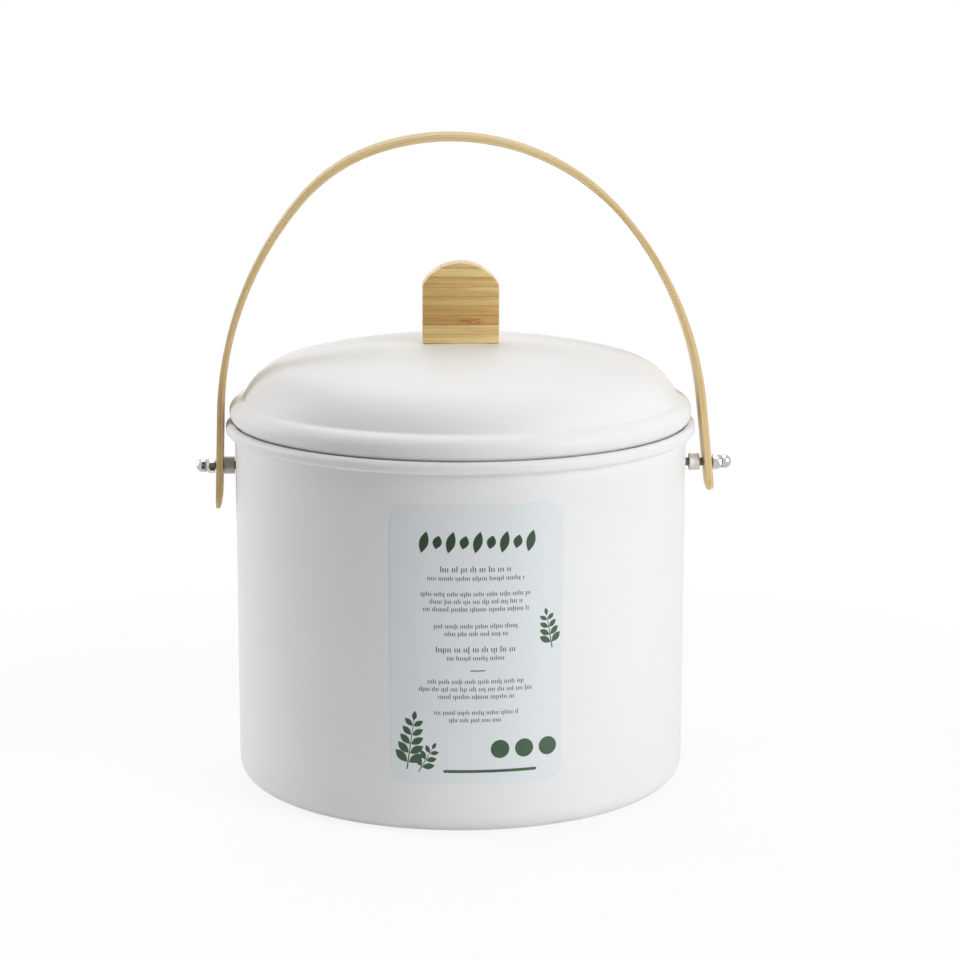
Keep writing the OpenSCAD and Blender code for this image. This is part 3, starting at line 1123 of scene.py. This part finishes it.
@dataclass
class Bail:
    """The bent bamboo strip with round, sanded tails, drilled for the two bolts."""

    start_x: float = -117.6 * MM
    start_heading: float = 88.2
    leg_left: float = 26.5 * MM
    width: float = 18 * MM
    thickness: float = 3.3 * MM
    edge_r: float = 0.55 * MM
    left: Tail = Tail(21.4 * MM, 1.5 * MM, 0.25 * MM, 7 * MM)
    right: Tail = Tail(14.0 * MM, 0.8 * MM, 0.55 * MM, 2.2 * MM)
    bore_r: float = 2.05 * MM
    arcs: tuple[tuple[float, float], ...] = (
        (166 * MM, 38.7), (82.5 * MM, 31), (111 * MM, 68.6), (168 * MM, 33.8))
    # Where a tail's round end starts, as an angle of its quarter turn, and its steps
    first_angle: float = 6
    tail_steps: int = 9

    def centre_line(self) -> Outline:
        """The strip's centre line, from the left tail's tip to the right one's."""
        angle = math.radians(self.start_heading)
        below = self.left.drop / math.sin(angle)
        tip = (self.start_x - below * math.cos(angle), PIVOT_Z - self.left.drop)
        line = Outline(tip[0], tip[1], self.start_heading, chord=3 * MM, turn=3)
        line.ahead(below + self.leg_left)
        for radius, degrees in self.arcs:
            line.bend(radius, -degrees)
        _, z, heading = line.stations[-1]
        return line.ahead((z - PIVOT_Z + self.right.drop) / -math.sin(math.radians(heading)))

    def push(self, heading: float, length: float) -> None:
        """Extrudes the end of the strip straight ahead."""
        step = length * ahead_of(heading)
        bpy.ops.mesh.extrude_region_move(TRANSFORM_OT_translate={"value": (step.x, 0, step.y)})

    def section_at(self, tail: Tail, turned: float) -> tuple[float, float, float, float]:
        """A tail's section at an angle of its round end's quarter turn.

        Args:
            tail: The tail.
            turned: The angle in degrees, from nought at the tip to 90 where the strip has its full width.

        Returns:
            The distance from the tip, the thickness, the width and the shift towards the outer face.
        """
        half, angle = self.width / 2, math.radians(turned)
        from_tip = half * (1 - math.cos(angle))
        inside, outside = tail.sanding(from_tip)
        thick, wide = self.thickness - inside - outside, self.width * math.sin(angle)
        return from_tip, thick, wide, (inside - outside) / 2

    def follow(self, tail: Tail, heading: float, at: Vector, quarter: list[float], out: int) -> Vector:
        """Extrudes a round tail step by step, with its own thickness and width at each.

        Args:
            tail: The tail.
            heading: The way ahead, in degrees.
            at: Where the centre line is now.
            quarter: The stations, as angles of the round end's quarter turn.
            out: The sign of X on the outer side.

        Returns:
            Where the centre line has got to.
        """
        sections = [self.section_at(tail, turned) for turned in quarter]
        for now, then in zip(sections, sections[1:]):
            (gone, thick, wide, shift), (then_gone, then_thick, then_wide, then_shift) = now, then
            step = abs(then_gone - gone)
            self.push(heading, step)
            at = at + step * ahead_of(heading)
            bpy.ops.transform.resize(value=(then_thick / thick, then_wide / wide, 1),
                                     center_override=(at.x + out * shift, 0, at.y))
            bpy.ops.transform.translate(value=(out * (then_shift - shift), 0, 0))
        return at

    def strip(self) -> Piece:
        """The strip, extruded and spun from the left tail over the crown to the right tail."""
        line = self.centre_line()
        x, z, heading = line.stations[0]
        span = 90 - self.first_angle
        quarter = [self.first_angle + span * k / self.tail_steps for k in range(self.tail_steps + 1)]
        spent = self.width / 2 * math.cos(math.radians(self.first_angle))
        _, thick, wide, shift = self.section_at(self.left, self.first_angle)
        bpy.ops.mesh.primitive_plane_add(size=1)
        piece = newest("bail_strip")
        with editing(piece):
            bpy.ops.transform.resize(value=(self.thickness, self.width, 1))
            bpy.ops.mesh.bevel(offset=self.edge_r, segments=3, affect="VERTICES")
            bpy.ops.mesh.select_all(action="SELECT")
            bpy.ops.transform.resize(value=(thick / self.thickness, wide / self.width, 1))
        piece.rotation_euler = (0, math.radians(90 - heading), 0)
        piece.location = (x - shift, 0, z)
        settle(piece)
        with editing(piece):
            at = self.follow(self.left, heading, Vector((x, z)), quarter, -1)
            straight = self.left.drop / math.sin(math.radians(heading)) + self.leg_left - spent
            self.push(heading, straight)
            at += straight * ahead_of(heading)
            for radius, degrees in self.arcs:
                centre = at + radius * right_of(heading)
                bpy.ops.mesh.spin(steps=math.ceil(degrees / 1.5), angle=math.radians(degrees),
                                  center=(centre.x, 0, centre.y), axis=(0, -1, 0))
                heading -= degrees
                at = centre - radius * right_of(heading)
            end = Vector(line.stations[-1][:2])
            straight = (end - at).length - spent
            self.push(heading, straight)
            at += straight * ahead_of(heading)
            self.follow(self.right, heading, at, quarter[::-1], 1)
            face_outwards()
        return piece

    def mark_grain(self, piece: Piece) -> None:
        """Stores how far along, across and through the strip each vertex is, for its grain."""
        stations = self.centre_line().stations
        lengths = [0.0]
        for (x0, z0, _), (x1, z1, _) in zip(stations, stations[1:]):
            lengths.append(lengths[-1] + math.hypot(x1 - x0, z1 - z0))
        attribute = piece.data.attributes.new(GRAIN_ATTRIBUTE, "FLOAT_VECTOR", "POINT")
        for vertex, value in zip(piece.data.vertices, attribute.data):
            best = (1.0, 0.0, 0.0)
            for (x0, z0, _), (x1, z1, _), run in zip(stations, stations[1:], lengths):
                dx, dz = x1 - x0, z1 - z0
                size = math.hypot(dx, dz)
                share = ((vertex.co.x - x0) * dx + (vertex.co.z - z0) * dz) / size ** 2
                share = min(max(share, 0.0), 1.0)
                gap = math.hypot(vertex.co.x - x0 - share * dx, vertex.co.z - z0 - share * dz)
                if gap < best[0]:
                    through = ((vertex.co.x - x0) * dz - (vertex.co.z - z0) * dx) / size
                    best = (gap, run + share * size, through)
            value.vector = (best[1], vertex.co.y, best[2])

    def build(self) -> None:
        """Makes the strip, drills it and finishes it."""
        piece = self.strip()
        reach = 150 * MM
        drill = rod("drill", self.bore_r, 2 * reach, (-reach, 0, PIVOT_Z), (0, 90, 0))
        combine(piece, drill, "DIFFERENCE")
        self.mark_grain(piece)
        hand_over(smooth(piece, 40), BENT_BAMBOO, Body.BAIL, "bail_handle")


# ---------------------------------------------------------------- the lid


@dataclass
class Lid:
    """The domed lid with its rolled edge, its collar, its bamboo knob and the ring for the filter."""

    sheet: float = 0.7 * MM
    arcs: tuple[tuple[float, float], ...] = (
        (660 * MM, -2.4), (292 * MM, -11.6), (29 * MM, -52.2), (2.1 * MM, 59))
    roll_r: float = 6.1 * MM
    lip_w: float = 4 * MM
    mouth_r: float = 109.2 * MM
    collar_gap: float = 0.8 * MM
    collar_bend: float = 2 * MM
    collar_depth: float = 12 * MM
    screw_x: float = 10 * MM
    screw_hole_r: float = 1.7 * MM
    knob_w: float = 37 * MM
    knob_d: float = 12 * MM
    knob_h: float = 39 * MM
    knob_top_r: float = 21.4 * MM
    knob_corner_r: float = 2.5 * MM

    def top_z(self) -> float:
        """The lid's highest point."""
        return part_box("lid_shell")[1].z

    def dome_line(self) -> Outline:
        """The sheet's outer surface, from the crown to the end of the lip."""
        line = Outline(0, self.top_z(), 0, chord=3 * MM)
        for radius, degrees in self.arcs:
            line.bend(radius, degrees)
        return line.bend(self.roll_r, -180 - line.stations[-1][2]).ahead(self.lip_w)

    def drill_screw_holes(self, piece: Piece) -> Piece:
        """Drills the two holes for the knob's screws."""
        for side in Side:
            start = (side.value * self.screw_x, 0, self.top_z() - 4 * MM)
            combine(piece, rod("drill", self.screw_hole_r, 8 * MM, start), "DIFFERENCE")
        return piece

    def dome(self) -> Piece:
        """The lid itself."""
        piece = turn_round("lid_dome", self.dome_line().sheet(self.sheet), on_axis=True)
        return hand_over(smooth(self.drill_screw_holes(piece)), WHITE_COAT, Body.LID, "lid_shell")

    def collar(self) -> Piece:
        """The flanged ring under the lip."""
        x, z, _ = self.dome_line().stations[-1]
        outer = self.mouth_r - self.collar_gap
        line = Outline(x, z, 0)
        line.ahead(outer - self.collar_bend - x).bend(self.collar_bend, -90)
        line.ahead(self.collar_depth - self.collar_bend)
        piece = turn_round("lid_collar_ring", line.sheet(self.sheet, round_start=True))
        return hand_over(piece, WHITE_COAT, Body.LID, "lid_collar")

    def knob_line(self) -> list[Point]:
        """The knob's front: straight sides under an arched top with softened corners."""
        half, corner, arch = self.knob_w / 2, self.knob_corner_r, self.knob_top_r
        cosine = (half - corner) / (arch - corner)
        soften = math.degrees(math.acos(cosine))
        sine = math.sin(math.radians(soften))
        side_h = self.knob_h - corner * sine - arch * (1 - sine)
        line = Outline(half, self.top_z(), 90, chord=1.5 * MM)
        line.ahead(side_h).bend(corner, soften).bend(arch, 180 - 2 * soften)
        return line.bend(corner, soften).ahead(side_h).beside(0)

    def knob(self) -> Piece:
        """The bamboo knob: its front, pushed back to its thickness, with its edges rounded."""
        piece = draw_line("bamboo_knob", self.knob_line())
        with editing(piece):
            bpy.ops.mesh.edge_face_add()
            bpy.ops.transform.translate(value=(0, -self.knob_d / 2, 0))
            bpy.ops.mesh.extrude_region_move(TRANSFORM_OT_translate={"value": (0, self.knob_d, 0)})
            face_outwards()
        sharp = math.radians(40)
        shape_with(piece, "BEVEL", width=0.5 * MM, segments=3, limit_method="ANGLE", angle_limit=sharp)
        slats = BambooBlock("laminated_bamboo", Slot.BAMBOO, pale=(0.97, 0.77, 0.37), dark=(0.60, 0.37, 0.11),
                            glue=(0.36, 0.19, 0.055), stain_and_painted_shade=(0.59, 0.33, 0.02), slat=4.6 * MM,
                            base_z=self.top_z())
        return hand_over(smooth(piece), slats, Body.LID, "knob")

    def build(self) -> None:
        """Makes the sheet pieces and the knob, and finishes the frame's screws, washers and ring."""
        self.dome()
        self.collar()
        self.knob()
        for side in Side:
            TURNED_STEEL.apply(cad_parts[f"knob_screw_{side.name.lower()}"])
            TURNED_STEEL.apply(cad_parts[f"knob_washer_{side.name.lower()}"])
        PALE_PLASTIC.apply(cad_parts["filter_ring"])


@dataclass
class CarbonFilter:
    """The slotted tray and the felt pad in it."""

    edge_r: float = 2.2 * MM
    crown: float = 0.6 * MM

    def pad(self) -> Piece:
        """A felt disc with soft edges, a little crowned on both faces."""
        low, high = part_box("filter_pad")
        radius, thickness = high.x, high.z - low.z
        steps, rim = 14, radius - self.edge_r
        inner = thickness / 2 - self.crown
        points = [(rim * k / steps, high.z - self.crown * (k / steps) ** 2) for k in range(steps)]
        edge = Outline(rim, high.z - self.crown, 0, turn=15)
        edge.bend(self.edge_r, -90).ahead(2 * (inner - self.edge_r)).bend(self.edge_r, -90)
        under = [(x, low.z + high.z - z) for x, z in reversed(points)]
        piece = turn_round("carbon_pad", points + edge.beside(0) + under, on_axis=True, steps=120)
        hand_over(piece, CARBON_FELT, Body.FILTER, "filter_pad")
        return piece

    def build(self) -> None:
        """Makes the pad and finishes the frame's tray."""
        self.pad()
        PALE_PLASTIC.apply(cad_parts["filter_tray"])


# ---------------------------------------------------------------- the studio


@dataclass
class SoftBox:
    """A square lamp on a stand, aimed at the caddy."""

    name: str
    azimuth: float
    height: float
    distance: float
    size: Point
    power: float
    aim_z: float = 0.12

    def build(self) -> None:
        """Hangs the lamp at its azimuth, from the front towards +X."""
        lamp = bpy.data.lights.new(self.name, "AREA")
        lamp.shape = "RECTANGLE"
        lamp.size, lamp.size_y = self.size
        lamp.energy = self.power
        stand = bpy.data.objects.new(self.name, lamp)
        bpy.context.scene.collection.objects.link(stand)
        angle = math.radians(self.azimuth)
        stand.location = (self.distance * math.sin(angle), -self.distance * math.cos(angle), self.height)
        aim = Vector((0, 0, self.aim_z)) - stand.location
        stand.rotation_euler = aim.to_track_quat("-Z", "Y").to_euler()


def bare_material(name: str) -> tuple[bpy.types.Material, Graph]:
    """A material for the studio with nothing in it yet, and its graph."""
    material = bpy.data.materials.new(name)
    material.use_nodes = True
    material.node_tree.nodes.clear()
    return material, Graph(material.node_tree)


def stage_card(name: str, size: Point, turned: float, middle: Place,
               material: bpy.types.Material) -> None:
    """Puts up a flat card in the studio.

    Args:
        name: The card's name.
        size: Its width and depth, as it lies.
        turned: How far its back is then lifted, in degrees.
        middle: Its middle point.
        material: Its material.
    """
    bpy.ops.mesh.primitive_plane_add(size=1)
    card = newest(name)
    with editing(card):
        bpy.ops.transform.resize(value=(*size, 1))
        bpy.ops.transform.rotate(value=math.radians(turned), orient_axis="X")
        bpy.ops.transform.translate(value=middle)
    card.data.materials.append(material)


@dataclass
class DarkFlag:
    """A dark card that nothing but a reflection shows, so that polished metal has something dark in it."""

    name: str
    x: Point
    y: float
    z: Point
    dark: Colour
    # A band across the card in another tone: its colour, its middle height and its half height
    band: Colour
    band_z: float = 0.173
    band_reach: float = 0.035

    def build(self) -> None:
        """Stands the card up, clear to every ray but a reflected one."""
        material, graph = bare_material(f"{self.name}_cloth")
        reflected = graph.add("LightPath").outputs["Is Glossy Ray"]
        clear = graph.add("BsdfTransparent", {"Color": (1, 1, 1, 1)})
        height = graph.add("SeparateXYZ", {0: graph.add("TexCoord").outputs["Object"]}).outputs[2]
        away = graph.math("ABSOLUTE", graph.math("SUBTRACT", height, self.band_z))
        in_band = graph.spread(away, 0.2 * self.band_reach, self.band_reach, 1, 0)
        cloth = graph.add("Emission", {"Color": graph.blend(in_band, self.dark, self.band), "Strength": 1.0})
        mix = graph.add("MixShader", {0: reflected, 1: clear.outputs[0], 2: cloth.outputs[0]})
        graph.add("OutputMaterial", {"Surface": mix.outputs[0]})
        size = (self.x[1] - self.x[0], self.z[1] - self.z[0])
        stage_card(self.name, size, 90, (sum(self.x) / 2, self.y, sum(self.z) / 2), material)


@dataclass
class Studio:
    """The floor, the pale surroundings, the lamps and the camera."""

    ambient: float = 0.125
    shadow_share: float = 0.14
    shadow_reach: Point = (0.22, 0.5)
    table_w: float = 12
    table_d: float = 10
    table_front: float = 0.6
    camera_azimuth: float = -2.33
    camera_distance: float = 1477.88 * MM
    camera_height: float = 448.84 * MM
    camera_pitch: float = 13.034
    lens: float = 115.16
    shift: Point = (0.0203, 0.0833)
    flags: tuple[DarkFlag, ...] = (
        DarkFlag("front_flag", (-0.215, 0.08), -0.2, (0.004, 0.56),
                 dark=(0.045, 0.040, 0.028), band=(0.045, 0.040, 0.028)),
        DarkFlag("pivot_flag", (-0.148, -0.1205), -0.05, (0.07, 0.70),
                 dark=(0.085, 0.085, 0.06), band=(0.30, 0.26, 0.20)))
    lamps: tuple[SoftBox, ...] = (
        SoftBox("key_lamp", 50, 0.7, 1.5, (1.0, 1.2), 16.8),
        SoftBox("fill_lamp", -110, 0.6, 1.6, (0.7, 1.2), 12.9),
        SoftBox("top_lamp", 0, 1.9, 0.15, (1.2, 1.2), 10.2),
        SoftBox("back_lamp", 180, 1.6, 0.9, (1.2, 1.2), 7.8))

    def seen_ray(self, graph: Graph) -> Socket:
        """One where a ray comes from the camera, a reflection or glass, and nought elsewhere."""
        path = graph.add("LightPath").outputs
        seen = graph.math("MAXIMUM", path["Is Camera Ray"], path["Is Glossy Ray"])
        return graph.math("MAXIMUM", seen, path["Is Transmission Ray"])

    def surroundings(self) -> None:
        """A world that looks white and lights the caddy evenly."""
        world = bpy.data.worlds.new("pale_surroundings")
        world.use_nodes = True
        bpy.context.scene.world = world
        graph = Graph(world.node_tree)
        world.node_tree.nodes.clear()
        lit = graph.add("Background", {"Color": (1, 1, 1, 1), "Strength": self.ambient})
        white = graph.add("Background", {"Color": (1, 1, 1, 1), "Strength": 1.0})
        mix = graph.add("MixShader", {0: self.seen_ray(graph), 1: lit.outputs[0], 2: white.outputs[0]})
        graph.add("OutputWorld", {"Surface": mix.outputs[0]})

    def floor(self) -> None:
        """A wide pale table that looks white, keeps a soft shadow near the caddy and ends in front of it."""
        material, graph = bare_material("white_table")
        matte = graph.add("BsdfDiffuse", {"Color": (0.92, 0.92, 0.92, 1)})
        glow = graph.add("Emission", {"Color": (1, 1, 1, 1), "Strength": 1.0})
        place = graph.add("TexCoord").outputs["Object"]
        distance = graph.add("VectorMath", {0: place}, operation="LENGTH").outputs["Value"]
        white = graph.spread(distance, *self.shadow_reach, 1 - self.shadow_share, 1, smooth_ends=True)
        share = graph.math("MULTIPLY", self.seen_ray(graph), white)
        mix = graph.add("MixShader", {0: share, 1: matte.outputs[0], 2: glow.outputs[0]})
        graph.add("OutputMaterial", {"Surface": mix.outputs[0]})
        middle = (0, self.table_d / 2 - self.table_front, 0)
        stage_card("studio_table", (self.table_w, self.table_d), 0, middle, material)

    def camera(self) -> None:
        """The camera, a little to the left of the caddy's front and looking down on it."""
        data = bpy.data.cameras.new("camera")
        data.lens = self.lens
        data.shift_x, data.shift_y = self.shift
        camera = bpy.data.objects.new("camera", data)
        bpy.context.scene.collection.objects.link(camera)
        angle = math.radians(self.camera_azimuth)
        camera.location = (self.camera_distance * math.sin(angle), -self.camera_distance * math.cos(angle),
                           self.camera_height)
        camera.rotation_euler = (math.radians(90 - self.camera_pitch), 0, angle)
        bpy.context.scene.camera = camera

    def build(self) -> None:
        """Sets up the studio."""
        bpy.context.scene.view_settings.view_transform = "Standard"
        self.camera()
        self.surroundings()
        self.floor()
        for flag in self.flags:
            flag.build()
        for lamp in self.lamps:
            lamp.build()


def main() -> None:
    """Builds the studio and dresses every sub-assembly in turn."""
    logging.basicConfig(level=logging.INFO, format="%(name)s %(message)s", stream=sys.stdout)
    Studio().build()
    for assembly in (Bucket(), Label(), Pivot(Side.LEFT), Pivot(Side.RIGHT), Bail(), Lid(), CarbonFilter()):
        log.info("building %s", type(assembly).__name__)
        assembly.build()


if __name__ == "__main__":
    main()
